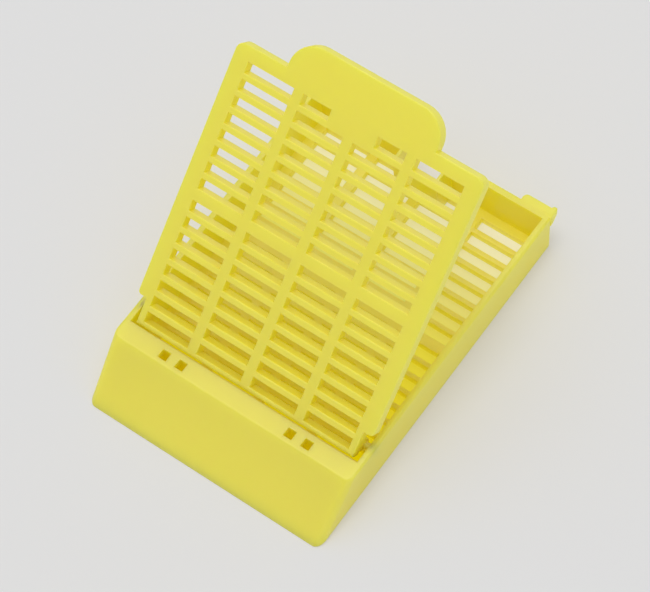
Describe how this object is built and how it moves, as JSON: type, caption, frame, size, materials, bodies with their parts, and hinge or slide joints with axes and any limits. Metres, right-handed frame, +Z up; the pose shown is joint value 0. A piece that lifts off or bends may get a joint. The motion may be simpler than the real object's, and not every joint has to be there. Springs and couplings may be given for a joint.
{
  "type": "tissue cassette",
  "caption": "Slotted plastic tissue cassette for histology: a shallow tray with a sloped writing face and a slotted lid that hinges open, with a finger tab.",
  "frame": {"origin": "on the resting plane, midway across and midway along the whole part", "axes": "+Z up, +X across the tray, +Y from the writing face towards the ears and the lid's tab"},
  "size_m": [0.0286, 0.0408, 0.0296],
  "materials": {
    "tray_plastic": "satin moulded acetal, pale yellow",
    "lid_plastic": "satin moulded acetal, pale yellow"
  },
  "bodies": {
    "base": {"base_tray": "tray_plastic"},
    "lid": {"lid": "lid_plastic"}
  },
  "joints": [
    {"name": "lid_hinge", "type": "hinge", "parent": "base", "child": "lid", "pos_m": [0, -0.01063, 0.0053], "axis": [1, 0, 0], "range_deg": [-44.19, 50.8]}
  ]
}
